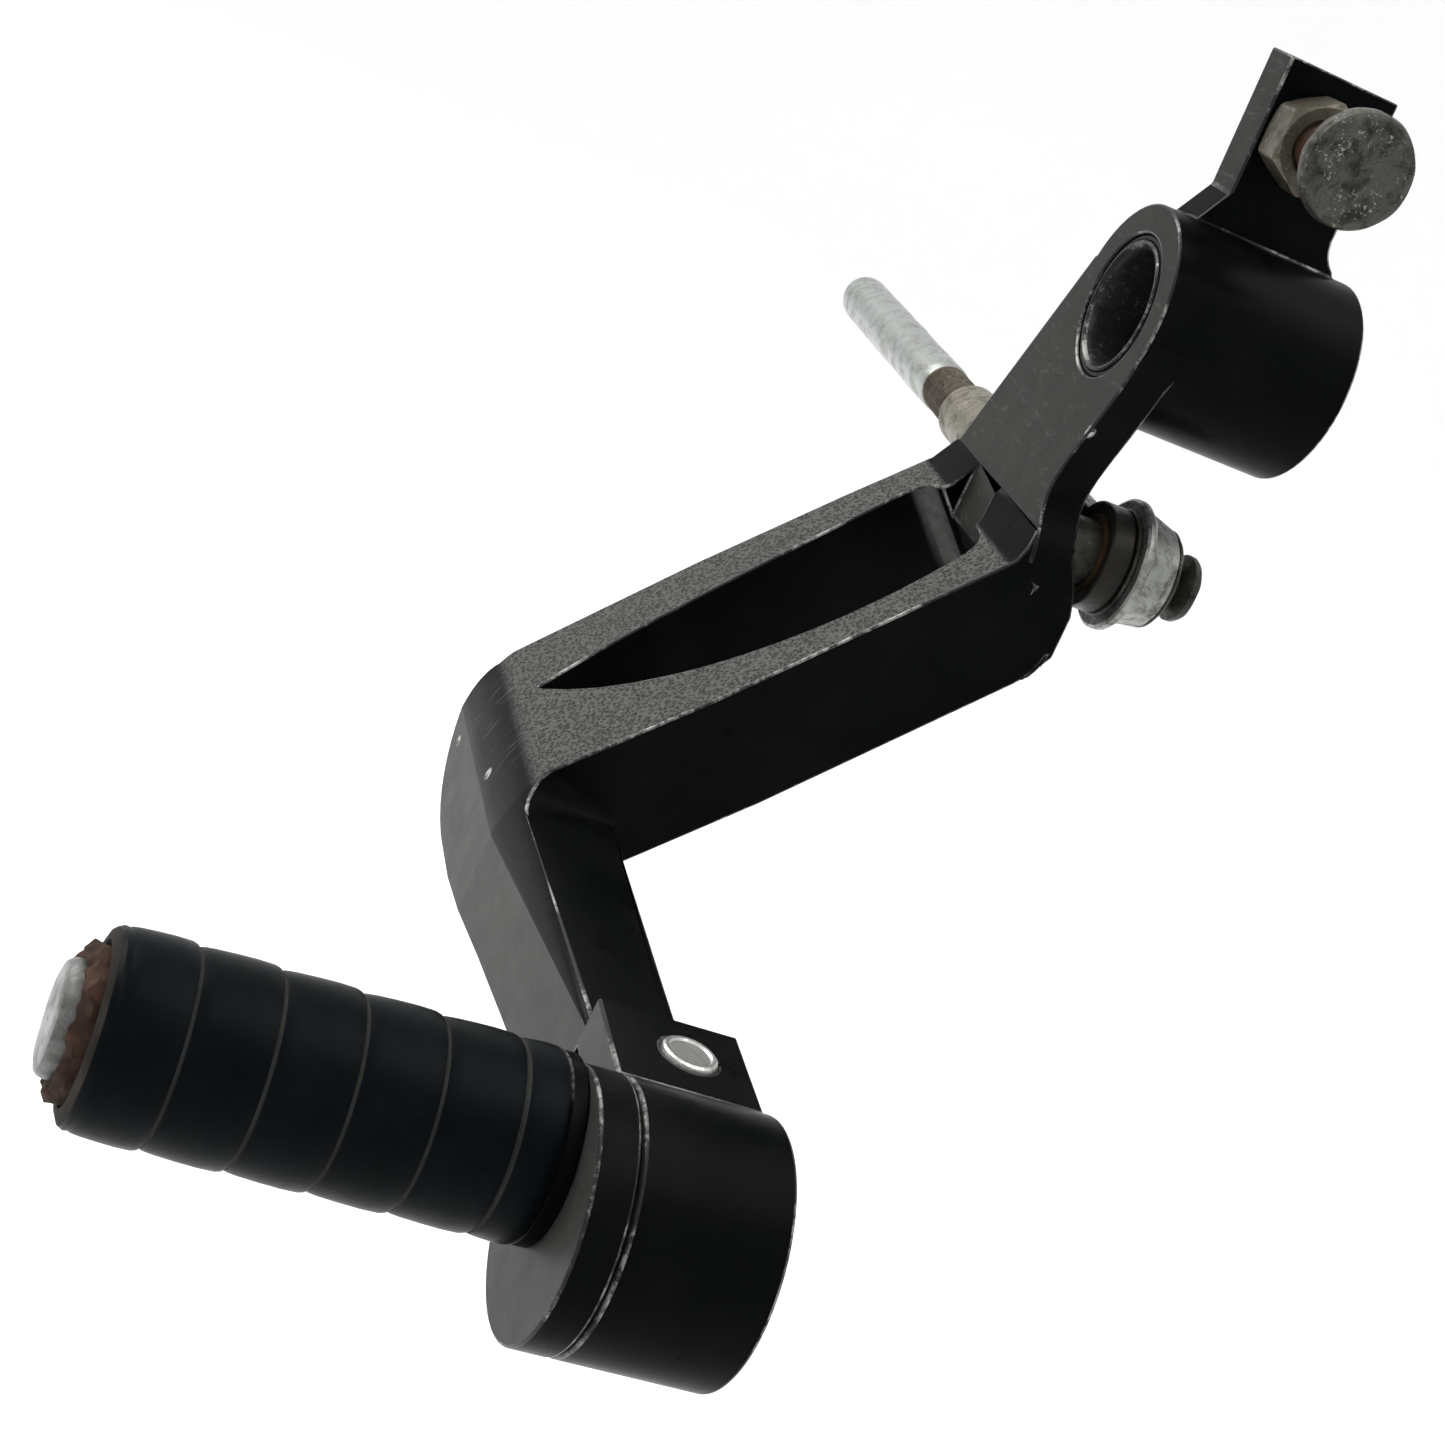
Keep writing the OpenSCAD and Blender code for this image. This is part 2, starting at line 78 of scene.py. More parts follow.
class Shader:
    """A procedural material; every method returns the socket that it makes."""

    def __init__(self, name):
        self.material = bpy.data.materials.new(name)
        self.material.use_nodes = True
        self.nodes = self.material.node_tree.nodes
        self.links = self.material.node_tree.links
        self.surface = self.nodes["Principled BSDF"]
        self.place = self.nodes.new("ShaderNodeTexCoord").outputs["Object"]

    def join(self, source, socket):
        if isinstance(source, bpy.types.NodeSocket):
            self.links.new(source, socket)
        elif isinstance(source, tuple) and len(source) == 3 and socket.type == "RGBA":
            socket.default_value = (*source, 1.0)
        else:
            socket.default_value = source

    def set(self, **inputs):
        for name, value in inputs.items():
            self.join(value, self.surface.inputs[name.replace("_", " ")])
        return self

    def stretched(self, scale):
        node = self.nodes.new("ShaderNodeMapping")
        self.join(self.place, node.inputs["Vector"])
        node.inputs["Scale"].default_value = scale
        return node.outputs["Vector"]

    def noise(self, size, detail=5.0, rough=0.6, stretch=(1, 1, 1), warp=0.0):
        """Noise whose features are about size mm across."""
        node = self.nodes.new("ShaderNodeTexNoise")
        self.join(self.stretched(stretch), node.inputs["Vector"])
        node.inputs["Scale"].default_value = 1 / (size * MM)
        node.inputs["Detail"].default_value = detail
        node.inputs["Roughness"].default_value = rough
        node.inputs["Distortion"].default_value = warp
        return node.outputs["Fac"]

    def cells(self, size, stretch=(1, 1, 1), feature="F1"):
        node = self.nodes.new("ShaderNodeTexVoronoi")
        node.feature = feature
        self.join(self.stretched(stretch), node.inputs["Vector"])
        node.inputs["Scale"].default_value = 1 / (size * MM)
        return node.outputs["Distance"]

    def math(self, operation, a, b=0.0, clamp=False):
        node = self.nodes.new("ShaderNodeMath")
        node.operation = operation
        node.use_clamp = clamp
        self.join(a, node.inputs[0])
        self.join(b, node.inputs[1])
        return node.outputs[0]

    def steps(self, fac, start, end):
        """0 below start, 1 above end."""
        node = self.nodes.new("ShaderNodeMapRange")
        node.interpolation_type = "SMOOTHSTEP"
        self.join(fac, node.inputs["Value"])
        node.inputs["From Min"].default_value = start
        node.inputs["From Max"].default_value = end
        return node.outputs["Result"]

    def between(self, fac, a, b):
        """A number from a to b as fac goes from 0 to 1."""
        node = self.nodes.new("ShaderNodeMapRange")
        self.join(fac, node.inputs["Value"])
        node.inputs["To Min"].default_value = a
        node.inputs["To Max"].default_value = b
        return node.outputs["Result"]

    def mix(self, fac, a, b):
        node = self.nodes.new("ShaderNodeMix")
        node.data_type = "RGBA"
        self.join(fac, node.inputs["Factor"])
        self.join(a, node.inputs[6])
        self.join(b, node.inputs[7])
        return node.outputs[2]

    def along(self, direction, point):
        """Signed distance in mm from the plane through point, along direction."""
        node = self.nodes.new("ShaderNodeVectorMath")
        node.operation = "DOT_PRODUCT"
        self.join(self.place, node.inputs[0])
        node.inputs[1].default_value = Vector(direction).normalized() / MM
        return self.math("SUBTRACT", node.outputs["Value"], Vector(direction).normalized().dot(Vector(point)))

    def facing(self, direction):
        """How far the surface faces direction, from -1 to 1."""
        normal = self.nodes.new("ShaderNodeNewGeometry").outputs["Normal"]
        node = self.nodes.new("ShaderNodeVectorMath")
        node.operation = "DOT_PRODUCT"
        self.join(normal, node.inputs[0])
        node.inputs[1].default_value = Vector(direction).normalized()
        return node.outputs["Value"]

    def near(self, point, radius, soft):
        """1 within radius mm of point, falling to 0 over soft mm."""
        node = self.nodes.new("ShaderNodeVectorMath")
        node.operation = "DISTANCE"
        self.join(self.place, node.inputs[0])
        node.inputs[1].default_value = Vector(point) * MM
        return self.math("SUBTRACT", 1.0, self.steps(node.outputs["Value"], radius * MM,
                                                     (radius + soft) * MM))

    def bump(self, height, depth, strength=1.0, under=None):
        """Bump whose full height is depth mm."""
        node = self.nodes.new("ShaderNodeBump")
        self.join(height, node.inputs["Height"])
        node.inputs["Distance"].default_value = depth * MM
        node.inputs["Strength"].default_value = strength
        if under is not None:
            self.join(under, node.inputs["Normal"])
        return node.outputs["Normal"]


SLOPE_FRONT = Vector((0, -1, 1))      # outward normal of the slanted face
ELBOW = (-5, -46.5, -76)              # middle of the rounded elbow front
SLOT_END = (-17, 0, -36)              # left corner at the slot's upper end
GLINT_FACING = (0.85, -0.37, -0.37)       # the way that corner's painted highlight faces
NICKS = (((8.6, 0, -13.6), 0.75), ((-17.2, -46.9, -84.0), 0.55), ((0.9, -46.9, -79.6), 0.7),
         ((-15.0, -15.3, -54.7), 0.6))


def anodised():
    """Black anodised aluminium: satin, dusty, with a milled texture on the slanted rails."""
    s = Shader("anodised")
    cloud = s.steps(s.noise(14, 6), 0.4, 0.7)
    base = s.mix(cloud, (0.0016, 0.0019, 0.0021), (0.0034, 0.0036, 0.0036))
    speck = s.math("MULTIPLY", s.steps(s.noise(0.9, 7, 0.7), 0.66, 0.74), 0.4)
    base = s.mix(speck, base, (0.03, 0.029, 0.026))
    # outboard faces, those facing -Y, painted a lighter grey, lighter still low on the arm, with fingermarks
    # and light scuffs
    front = s.steps(s.facing((0, -1, 0)), 0.985, 0.998)
    low_arm = s.steps(s.along((0, 0, -1), (0, 0, -60)), -2, 4)
    front_grey = s.mix(low_arm, (0.0155, 0.015, 0.0128), (0.036, 0.036, 0.033))
    blotch = s.steps(s.noise(6, 7, 0.6, warp=0.8), 0.3, 0.75)
    scuff = s.steps(s.noise(4, 8, 0.7, (1, 1, 4), 0.6), 0.56, 0.62)
    worn = s.mix(s.math("MULTIPLY", scuff, 0.5), front_grey, (0.06, 0.059, 0.054))
    base = s.mix(s.math("MULTIPLY", front, s.between(blotch, 0.72, 1.0)), base, worn)
    # rails and elbow front: milled stipple
    rail = s.steps(s.facing(SLOPE_FRONT), 0.93, 0.985)
    below = s.steps(s.along((0, 0, -1), (0, 0, -30.5)), 0, 0.6)
    rail = s.math("MULTIPLY", rail, below)
    grain = s.math("ADD", s.cells(0.62, (1, 1.5, 1.5)), s.math("MULTIPLY", s.noise(1.1, 4, 0.7), 0.5))
    peak = s.math("MULTIPLY", s.steps(grain, 0.5, 0.95), rail)
    base = s.mix(s.math("MULTIPLY", rail, 0.75), base, (0.016, 0.0158, 0.0142))
    base = s.mix(s.math("MULTIPLY", peak, 0.8), base, (0.085, 0.083, 0.076))
    # scratches running down the rounded elbow
    streak = s.steps(s.noise(0.7, 6, 0.7, (1, 0.12, 0.12)), 0.55, 0.68)
    streak = s.math("MULTIPLY", streak, s.near(ELBOW, 9, 9))
    streak = s.math("MULTIPLY", streak, s.steps(s.facing((0, -1, 0.3)), 0.7, 0.85))
    base = s.mix(s.math("MULTIPLY", streak, 0.5), base, (0.10, 0.098, 0.09))
    # painted highlight: a bright strip painted on the milled corner at the upper end of the slot
    painted_glint = s.math("MULTIPLY", s.steps(s.facing(GLINT_FACING), 0.88, 1.0), s.near(SLOT_END, 5, 6))
    painted_glint = s.math("MULTIPLY", painted_glint, s.between(s.noise(1.2, 6, 0.7), 0.15, 0.95))
    base = s.mix(painted_glint, base, (0.15, 0.155, 0.145))
    # nicks through to bare metal
    ragged = s.steps(s.noise(0.8, 5, 0.8), 0.42, 0.52)
    for point, radius in NICKS:
        spot = s.math("MULTIPLY", s.near(point, radius * 0.6, 0.6), ragged)
        base = s.mix(spot, base, (0.5, 0.5, 0.47))
    rough = s.between(s.noise(3.5, 6), 0.22, 0.38)
    rough = s.math("ADD", rough, s.math("MULTIPLY", front, 0.2))
    rough = s.math("ADD", rough, s.math("MULTIPLY", rail, 0.2))
    fine = s.bump(s.noise(0.35, 3), 0.005, 0.5)
    milled = s.bump(s.math("MULTIPLY", grain, rail), 0.22, 0.9, fine)
    shine = s.math("ADD", s.between(front, 0.02, 0.12), s.math("MULTIPLY", rail, 0.08))
    s.set(Base_Color=base, Roughness=rough, Normal=milled)
    s.surface.inputs["Specular IOR Level"].default_value = 0.05
    s.join(shine, s.surface.inputs["Specular IOR Level"])
    return s.material


def worn_edge():
    """Edge strips: the black worn through to bare aluminium in patches."""
    s = Shader("worn_edge")
    patch = s.math("ADD", s.noise(9, 5), s.math("MULTIPLY", s.noise(0.8, 5, 0.8), 0.7))
    patch = s.steps(patch, 0.84, 1.04)
    base = s.mix(patch, (0.009, 0.0092, 0.009), (0.24, 0.24, 0.225))
    s.set(Base_Color=base, Roughness=s.between(patch, 0.3, 0.45), Metallic=s.math("MULTIPLY", patch, 0.8))
    s.set(Normal=s.bump(s.noise(0.4, 4), 0.02, 0.8))
    s.surface.inputs["Specular IOR Level"].default_value = 0.16
    return s.material


def steel(name, clean, stain, rust, amount, metal=0.9, rough=(0.28, 0.6), flecks=0.35, grain=0.5, pits=0.05,
          painted_shade_spot=None):
    """Plated or bare steel with stains, rust where amount (0 to 1) lets it, and an optional dark spot of
    painted shade.
    """
    s = Shader(name)
    stains = s.steps(s.noise(2.6, 8, 0.72, warp=0.6), 0.42, 0.66)
    base = s.mix(stains, clean, stain)
    rusty = s.steps(s.noise(1.6, 9, 0.75), 0.95 - 0.65 * amount, 1.12 - 0.65 * amount)
    base = s.mix(rusty, base, rust)
    bright = s.steps(s.math("ADD", s.noise(0.5, 5, 0.8), s.math("MULTIPLY", s.noise(3.4, 3), 0.4)), 0.80,
                     0.86)
    base = s.mix(s.math("MULTIPLY", bright, flecks), base, (0.42, 0.41, 0.37))
    if painted_shade_spot is not None:
        # painted shade: a dark spot painted where the part lies in shadow
        base = s.mix(s.near(*painted_shade_spot), base, (0.012, 0.011, 0.009))
    worst = s.math("MAXIMUM", stains, rusty)
    s.set(Base_Color=base, Metallic=s.math("MULTIPLY", s.math("SUBTRACT", 1.0, rusty), metal))
    s.set(Roughness=s.between(worst, *rough), Normal=s.bump(s.noise(grain, 7, 0.75), pits, 0.9))
    s.surface.inputs["Specular IOR Level"].default_value = 0.25
    return s.material


def rubber(name, colour, spread, rough, shine):
    """Hard black rubber with a faint blue sheen, and grey dust streaks round the peg."""
    s = Shader(name)
    lighter = tuple(min(1.0, c * spread) for c in colour)
    base = s.mix(s.steps(s.noise(6, 6), 0.4, 0.7), colour, lighter)
    dust = s.steps(s.noise(1.2, 8, 0.75, (0.5, 2.5, 0.5)), 0.6, 0.82)
    base = s.mix(s.math("MULTIPLY", dust, 0.2), base, (0.035, 0.034, 0.031))
    s.set(Base_Color=base, Roughness=s.between(s.noise(2.5, 6), rough, rough + 0.16))
    s.set(Normal=s.bump(s.noise(0.5, 6, 0.7), 0.025, 0.7))
    s.surface.inputs["Specular IOR Level"].default_value = shine
    return s.material


def plain(name, colour, spread, rough, metal=0.0, grain=0.5, depth=0.02):
    """A dull surface whose colour and gloss wander a little."""
    s = Shader(name)
    lighter = tuple(min(1.0, c * spread) for c in colour)
    s.set(Base_Color=s.mix(s.steps(s.noise(2.5, 7, 0.7), 0.35, 0.7), colour, lighter))
    s.set(Roughness=s.between(s.noise(1.5, 5), rough - 0.08, rough + 0.1))
    s.set(Normal=s.bump(s.noise(grain, 6, 0.7), depth, 0.8))
    s.surface.inputs["Metallic"].default_value = metal
    s.surface.inputs["Specular IOR Level"].default_value = 0.2
    return s.material


BLACK = anodised()
EDGE = worn_edge()
RUBBER = rubber("peg_rubber_black", (0.0008, 0.0016, 0.0021), 1.9, 0.28, 0.035)
GROOVE = rubber("peg_rubber_groove", (0.017, 0.017, 0.016), 1.6, 0.7, 0.1)
TORN = rubber("peg_rubber_torn", (0.014, 0.012, 0.010), 2.2, 0.7, 0.1)
BUSH = steel("bush_dark", (0.035, 0.035, 0.034), (0.012, 0.012, 0.012), (0.02, 0.015, 0.01), 0.2, 0.7)
SEAL = plain("seal_black", (0.004, 0.004, 0.004), 2.2, 0.62)
HEAD = steel("stop_bolt_steel", (0.062, 0.060, 0.051), (0.018, 0.0175, 0.0135), (0.05, 0.034, 0.022), 0.5,
             0.7,
             (0.38, 0.62), 0.6, 0.8, 0.12)
RUSTY = steel("rusty_thread", (0.05, 0.034, 0.025), (0.03, 0.02, 0.014), (0.05, 0.02, 0.009), 0.85, 0.5,
              (0.5, 0.8), 0.1)
NUT = steel("stop_nut_plating", (0.105, 0.094, 0.072), (0.045, 0.040, 0.030), (0.075, 0.042, 0.022), 0.45,
            0.6)
ZINC = steel("zinc_plate", (0.33, 0.345, 0.33), (0.21, 0.215, 0.20), (0.13, 0.11, 0.08), 0.2, 0.85,
             (0.3, 0.5),
             0.5, 1.6, 0.10)
FLANGE = steel("zinc_nut", (0.24, 0.25, 0.235), (0.07, 0.07, 0.06), (0.035, 0.03, 0.02), 0.4, 0.85,
               (0.3, 0.55),
               0.4, 0.7, 0.09)
OLIVE = steel("stud_olive", (0.028, 0.027, 0.021), (0.010, 0.010, 0.008), (0.02, 0.014, 0.009), 0.4, 0.55,
              (0.4, 0.65),
              0.12)
# the eye's shank gets painted shade near the stud stack, where it sits in shadow behind the neck
SHANK = steel("shank_beige", (0.165, 0.15, 0.115), (0.07, 0.062, 0.045), (0.07, 0.048, 0.028), 0.4, 0.6,
              (0.35, 0.6),
              painted_shade_spot=((4.5, 9, -27.7), 9, 4))
THREAD = steel("rod_thread", (0.075, 0.062, 0.048), (0.035, 0.028, 0.021), (0.04, 0.024, 0.014), 0.5, 0.55,
               (0.45, 0.7),
               0.2)
BARE = steel("bare_steel", (0.135, 0.138, 0.133), (0.082, 0.082, 0.076), (0.07, 0.04, 0.022), 0.12, 0.85,
             (0.35, 0.5), 0.15)
PIN = steel("pin_steel", (0.25, 0.25, 0.235), (0.15, 0.15, 0.14), (0.1, 0.08, 0.06), 0.1, 0.8, (0.4, 0.55),
            0.1)
RING = steel("pin_rim", (0.5, 0.5, 0.475), (0.32, 0.32, 0.30), (0.2, 0.18, 0.15), 0.05, 0.95, (0.2, 0.35))
RUST = plain("rust_flaky", (0.022, 0.011, 0.007), 3.0, 0.85, 0.0, 0.45, 0.25)
BRONZE = plain("bronze_liner", (0.07, 0.045, 0.02), 1.6, 0.5, 0.8)
SPRING = plain("spring_wire", (0.3, 0.3, 0.3), 1.3, 0.35, 0.9)
OXIDE = plain("black_oxide", (0.012, 0.012, 0.012), 1.8, 0.4, 0.6)


# ---- mesh helpers ----

SHARP = 28          # degrees: sharper edges are bevelled and stay crisp
SPIKE_SHARE = 0.8   # share of a bevel's width that its corners may stand off the solid
WELD_ROUNDS = 6

def add_piece(name, mesh, materials, body, slot, *nodes):
    piece = bpy.data.objects.new(name, mesh)
    bpy.context.scene.collection.objects.link(piece)
    mesh.materials.clear()
    for material in materials:
        mesh.materials.append(material)
    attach(piece, body)
    if nodes:
        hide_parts(*nodes)
    return piece


def smooth(mesh, angle=32):
    mesh.shade_smooth()
    mesh.set_sharp_from_angle(angle=math.radians(angle))


def to_axis(origin, axis):
    """Matrix that takes local +Z to axis, and local mm to the frame's metres."""
    turn = Vector(axis).to_track_quat("Z", "Y").to_matrix().to_4x4()
    return Matrix.Scale(MM, 4) @ Matrix.Translation(origin) @ turn


def skin(name, rows, place):
    """Mesh through rings of points; a ring of no radius closes an end."""
    bm = bmesh.new()
    rings = [[bm.verts.new(place @ Vector(p)) for p in row] for row in rows]
    count = len(rings[0])
    for a, b in zip(rings, rings[1:]):
        for j in range(count):
            k = (j + 1) % count
            bm.faces.new((a[j], a[k], b[k], b[j]))
    bmesh.ops.remove_doubles(bm, verts=bm.verts, dist=2e-7)
    bmesh.ops.recalc_face_normals(bm, faces=bm.faces)
    mesh = bpy.data.meshes.new(name)
    bm.to_mesh(mesh)
    bm.free()
    smooth(mesh)
    return mesh


def ring(radius, z, count=96):
    """Points of one ring; radius and z are numbers or functions of the angle."""
    out = []
    for j in range(count):
        a = 2 * math.pi * j / count
        r = radius(a) if callable(radius) else radius
        h = z(a) if callable(z) else z
        out.append((r * math.cos(a), r * math.sin(a), h))
    return out


def rough_up(mesh, size, depth, seed=0.0):
    """Moves vertices along their normals by noise of that size and depth, in mm."""
    shift = Vector((seed, seed * 1.7, -seed))
    moved = [v.co + v.normal * noise.noise(v.co / (size * MM) + shift) * depth * MM for v in mesh.vertices]
    for v, co in zip(mesh.vertices, moved):
        v.co = co


def turned(name, profile, origin, axis, count=96):
    """A turned part from a profile of (radius, height)."""
    return skin(name, [ring(r, z, count) for r, z in profile], to_axis(origin, axis))


def thread_rows(radius, depth, start, end, pitch, count=64, fade=1.0):
    """Rings of a V thread from start to end, whose depth fades out at both ends."""
    rows = []
    steps = int(abs(end - start) / pitch * 10)
    for i in range(steps + 1):
        z = start + (end - start) * i / steps
        gate = min(1.0, abs(z - start) / fade, abs(end - z) / fade)

        def r(a, z=z, gate=gate):
            phase = (z / pitch - a / (2 * math.pi)) % 1.0
            return radius - depth * gate * abs(2 * phase - 1)
        rows.append(ring(r, z, count))
    return rows


def hex_rows(flats, bore, height, count=96, both=True):
    """Rings of a hexagon nut: bore, faces and the curved chamfer lines of its corners."""
    apothem = flats / 2
    face = apothem * 0.97
    corner = apothem / math.cos(math.pi / 6) - 0.12

    def side(a):
        turn = (a + math.pi / 6) % (math.pi / 3) - math.pi / 6
        return min(apothem / math.cos(turn), corner)

    def drop(a):
        return max(0.0, side(a) - face) * math.tan(math.radians(32))
    top = [ring(bore, height - 0.5, count), ring(bore + 0.5, height, count), ring(face, height, count),
           ring(side, lambda a: height - drop(a), count)]
    if both:
        bottom = [ring(side, drop, count), ring(face, 0, count)]
    else:
        bottom = [ring(side, 0, count)]
    start = [ring(bore, 0.5, count), ring(bore, height / 2, count)]
    end = [ring(bore + 0.5, 0, count), ring(bore, 0.5, count)]
    return start + top + bottom + end


def by_height(mesh, place, *bands):
    """Gives faces the material number of the last band (start, number) that they are above."""
    back = place.inverted()
    for face in mesh.polygons:
        height = (back @ face.center).z
        for start, number in bands:
            if height >= start:
                face.material_index = number


def without_spikes(piece, solid, reach):
    """Bakes the bevel, and welds corners thrown off the solid by more than reach to their neighbours."""

    def mean_length(vertex):
        return sum(edge.calc_length() for edge in vertex.link_edges) / len(vertex.link_edges)

    mesh = bpy.data.meshes.new_from_object(piece.evaluated_get(bpy.context.evaluated_depsgraph_get()))
    skin_tree = BVHTree.FromPolygons([v.co for v in solid.vertices], [f.vertices for f in solid.polygons])
    bm = bmesh.new()
    bm.from_mesh(mesh)
    for _ in range(WELD_ROUNDS):
        stray = {v for v in bm.verts if skin_tree.find_nearest(v.co)[3] > reach}
        for edge in bm.edges:
            middle = (edge.verts[0].co + edge.verts[1].co) / 2
            if edge.calc_length() > 4 * reach and skin_tree.find_nearest(middle)[3] > 2 * reach:
                stray.add(max(edge.verts, key=mean_length))
        targets = {}
        for v in [v for v in bm.verts if v in stray]:
            sound = [e.other_vert(v) for e in v.link_edges if e.other_vert(v) not in stray]
            if sound:
                targets[v] = min(sound, key=lambda w: (w.co - v.co).length)
        if not targets:
            break
        bmesh.ops.weld_verts(bm, targetmap=targets)
    bmesh.ops.dissolve_degenerate(bm, edges=bm.edges, dist=1e-6)
    bm.to_mesh(mesh)
    bm.free()
    piece.modifiers.clear()
    piece.data = mesh


def machined(name, node, width, body, slot, materials, segments=3):
    """The CAD solid with its edges broken: the strips along them take the second material."""
    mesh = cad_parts[node].data.copy()
    bm = bmesh.new()
    bm.from_mesh(mesh)
    bmesh.ops.remove_doubles(bm, verts=bm.verts, dist=2e-6)
    bmesh.ops.dissolve_limit(bm, angle_limit=math.radians(0.6), verts=bm.verts, edges=bm.edges)
    bm.to_mesh(mesh)
    bm.free()
    piece = add_piece(name, mesh, materials, body, slot, node)
    for face in mesh.polygons:
        face.material_index = 0
    bevel = piece.modifiers.new("broken_edges", "BEVEL")
    bevel.width = width * MM
    bevel.segments = segments
    bevel.limit_method = "ANGLE"
    bevel.angle_limit = math.radians(SHARP)
    bevel.use_clamp_overlap = False
    bevel.material = 1
    smooth(mesh, SHARP)
    without_spikes(piece, mesh, SPIKE_SHARE * width * MM)
    weighted = piece.modifiers.new("flat_faces", "WEIGHTED_NORMAL")
    weighted.keep_sharp = True
    return piece


# ---- the pieces ----

def make_arm():
    machined("lever_arm_body", "lever_arm", 0.28, "lever", "anodised_arm", [BLACK, EDGE])
    machined("toe_knuckle_body", "toe_knuckle", 0.35, "knuckle", "anodised_arm", [BLACK, EDGE])
    machined("eccentric_disc_body", "eccentric_disc", 0.3, "peg", "anodised_arm", [BLACK, EDGE])


def make_bushes():
    """Bushes with chamfered mouths, and lipped seals in their grooves."""
    for side, outward in (("outboard", -1), ("inboard", 1)):
        bush, seal = "pivot_bush_" + side, "dust_seal_" + side
        bore = 7.0
        outer = high(bush).x
        length = high(bush).y - low(bush).y
        mouth = low(bush).y if outward < 0 else high(bush).y
        profile = [(bore, length - 0.5), (bore, 1.2), (bore + 0.25, 0.45), (bore + 0.6, 0.02),
                   (outer - 0.2, 0),
                   (outer, 0.2), (outer, length - 0.3), (outer - 0.3, length), (bore + 0.4, length),
                   (bore, length - 0.5)]
        mesh = turned(bush + "_mesh", profile, Vector((0, mouth, 0)), (0, -outward, 0))
        piece = add_piece(bush + "_turned", mesh, [BUSH, EDGE], "lever", "bush", bush)
        for face in piece.data.polygons:
            if abs(face.center.y / MM - mouth) < 0.5 and 0.1 < abs(face.normal.y) < 0.98:
                face.material_index = 1
        wide = high(seal).x
        deep = high(seal).y - low(seal).y
        face = low(seal).y if outward < 0 else high(seal).y
        lip = [(outer + 0.02, 0.35), (outer + 0.18, 0.05), (outer + 0.4, 0), (wide - 0.2, 0.08),
               (wide - 0.02, 0.4),
               (wide - 0.02, deep), (outer + 0.02, deep), (outer + 0.02, 0.35)]
        mesh = turned(seal + "_mesh", lip, Vector((0, face, 0)), (0, -outward, 0))
        add_piece(seal + "_lip", mesh, [SEAL], "lever", "seal", seal)


def make_stop_bolt():
    """Round-headed bolt, battered and rusty, with a real thread, and its hexagon nut."""
    mid = centre("stop_bolt")
    tail, top = low("stop_bolt").x, high("stop_bolt").x
    head = high("stop_bolt").z - mid.z
    thick, shank = 2.8, 3.0
    under = top - thick - tail
    origin = Vector((tail, mid.y, mid.z))
    rows = [ring(0, 0.25), ring(shank - 1.2, 0), ring(shank - 0.9, 0.05)]
    rows += thread_rows(shank, 0.5, 0.4, under, 1.0, 96)
    faces = [(shank, 0), (head - 0.9, 0.02), (head - 0.3, 0.2), (head, 0.7), (head, thick - 1.0),
             (head - 0.2, thick - 0.45), (head - 0.7, thick - 0.12), (head - 1.3, thick),
             (head - 2.2, thick - 0.05),
             (head - 3.2, thick - 0.1), (head - 4.2, thick - 0.1), (1.3, thick - 0.06), (0.6, thick),
             (0, thick)]
    rows += [ring(r, under + h) for r, h in faces]
    place = to_axis(origin, (1, 0, 0))
    mesh = skin("stop_bolt_mesh", rows, place)
    rough_up(mesh, 2.2, 0.12, 3.0)
    piece = add_piece("stop_bolt_turned", mesh, [HEAD, RUSTY], "stop_screw", "stop_steel", "stop_bolt")
    by_height(piece.data, place, (-1, 1), (under + 0.1, 0))
    seat = low("stop_bolt_nut")
    height = high("stop_bolt_nut").x - seat.x
    place = to_axis(Vector((seat.x, mid.y, mid.z)), (1, 0, 0))
    mesh = skin("stop_nut_mesh", hex_rows(10, 3.05, height, 192), place)
    rough_up(mesh, 3.0, 0.08, 1.0)
    add_piece("stop_bolt_nut_hex", mesh, [NUT], "lever", "stop_nut", "stop_bolt_nut")


